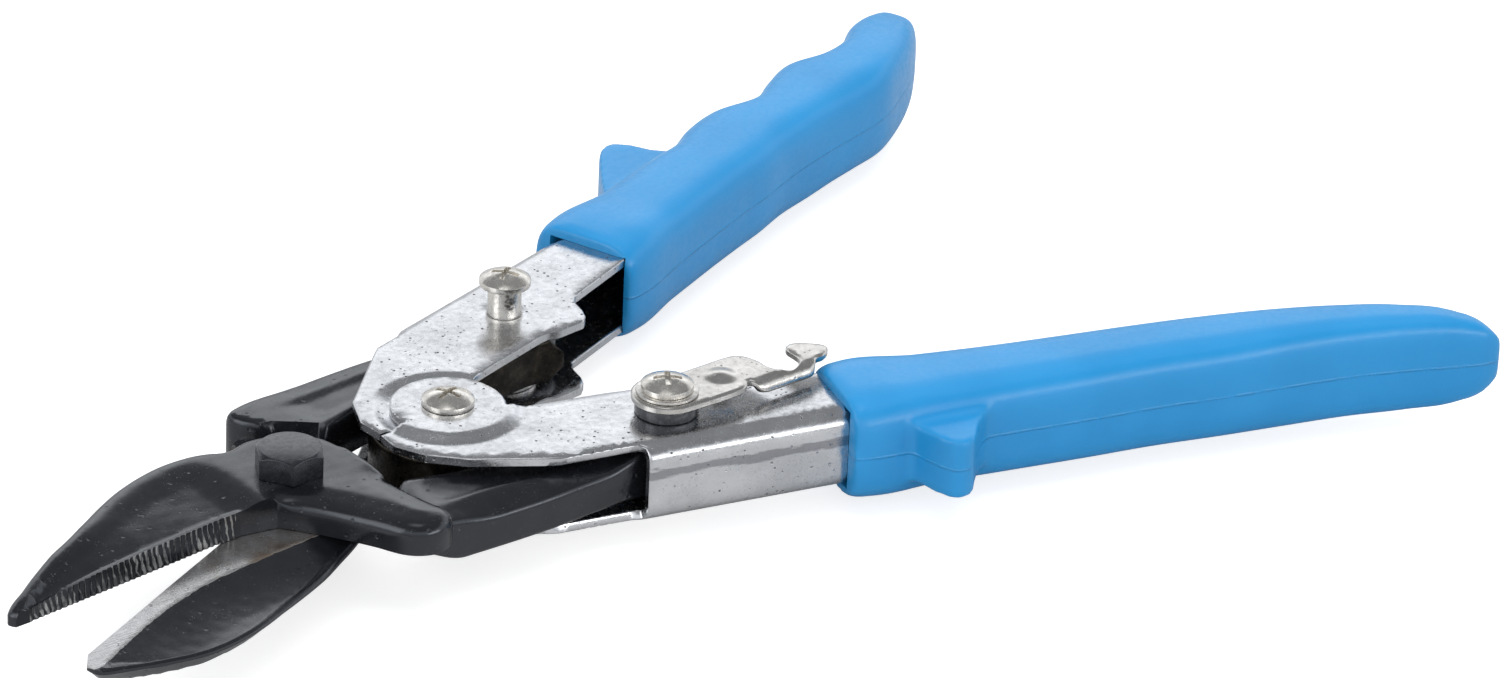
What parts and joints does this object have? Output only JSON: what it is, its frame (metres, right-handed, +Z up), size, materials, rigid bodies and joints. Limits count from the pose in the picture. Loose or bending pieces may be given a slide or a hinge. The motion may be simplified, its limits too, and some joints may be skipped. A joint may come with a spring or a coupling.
{
  "type": "metal shear",
  "caption": "Hand shears for sheet metal: forged jaws on a hex bolt, driven through a compound four-bar linkage by two channel handles with moulded grips and a hook latch.",
  "frame": {"origin": "lower end face of the main bolt, on its axis", "axes": "+X along the centre line from the jaws to the grips, +Y towards the handle with the catch post, +Z up along the main bolt to its hex head"},
  "size_m": [0.2425, 0.1472, 0.0249],
  "materials": {
    "forged_steel": "drop-forged and blackened, ground bright along the cutting edges",
    "black_bolt": "black oxide, satin",
    "zinc_hardware": "zinc or nickel plated, polished",
    "plated_sheet": "pressed sheet steel, nickel plated over a lightly pitted surface",
    "latch_plating": "stamped sheet steel, plated",
    "dark_spacer": "dark turned steel",
    "spring_steel": "tempered bronze-coloured spring strip",
    "grip_plastic": "semi-gloss moulded vinyl with a fine grain"
  },
  "bodies": {
    "latch_handle": {"latch_channel": "plated_sheet", "latch_grip": "grip_plastic", "latch_barrel": "zinc_hardware", "latch_spacer": "dark_spacer", "latch_washer": "zinc_hardware", "latch_screw": "zinc_hardware", "latch_shank_washers": "zinc_hardware", "centre_barrel": "zinc_hardware", "centre_thrust_washers": "zinc_hardware", "centre_screw": "zinc_hardware", "opening_spring": "spring_steel"},
    "post_handle": {"post_channel": "plated_sheet", "post_grip": "grip_plastic", "post_barrel": "zinc_hardware", "post_screw": "zinc_hardware", "post_shank_washers": "zinc_hardware"},
    "serrated_jaw_body": {"serrated_jaw": "forged_steel", "main_bolt": "black_bolt", "nut_washer": "zinc_hardware", "main_nut": "black_bolt"},
    "plain_jaw_body": {"plain_jaw": "forged_steel"},
    "latch": {"latch_plate": "latch_plating"}
  },
  "joints": [
    {"name": "handle_squeeze", "type": "hinge", "parent": "latch_handle", "child": "post_handle", "pos_m": [0.03041, 0, 0.01095], "axis": [0, 0, -1], "range_deg": [0, 37.42], "stiffness_Nm_per_rad": 1.5, "springref_deg": -20.05, "deforming": ["opening_spring"]},
    {"name": "serrated_jaw_pivot", "type": "hinge", "parent": "latch_handle", "child": "serrated_jaw_body", "pos_m": [0.05731, -0.0203, 0.01095], "axis": [0, 0, -1], "range_deg": [0, 9.25]},
    {"name": "main_bolt_pivot", "type": "hinge", "parent": "serrated_jaw_body", "child": "plain_jaw_body", "pos_m": [0, 0, 0.01095], "axis": [0, 0, -1], "range_deg": [0, 18.94]},
    {"name": "latch_swing", "type": "hinge", "parent": "latch_handle", "child": "latch", "pos_m": [0.05731, -0.0203, 0.01095], "axis": [0, 0, 1], "range_deg": [-2, 76.4]}
  ],
  "couplings": [
    {"joint": "serrated_jaw_pivot", "follows": "handle_squeeze", "ratio": 0.24702},
    {"joint": "main_bolt_pivot", "follows": "handle_squeeze", "ratio": 0.50595}
  ]
}
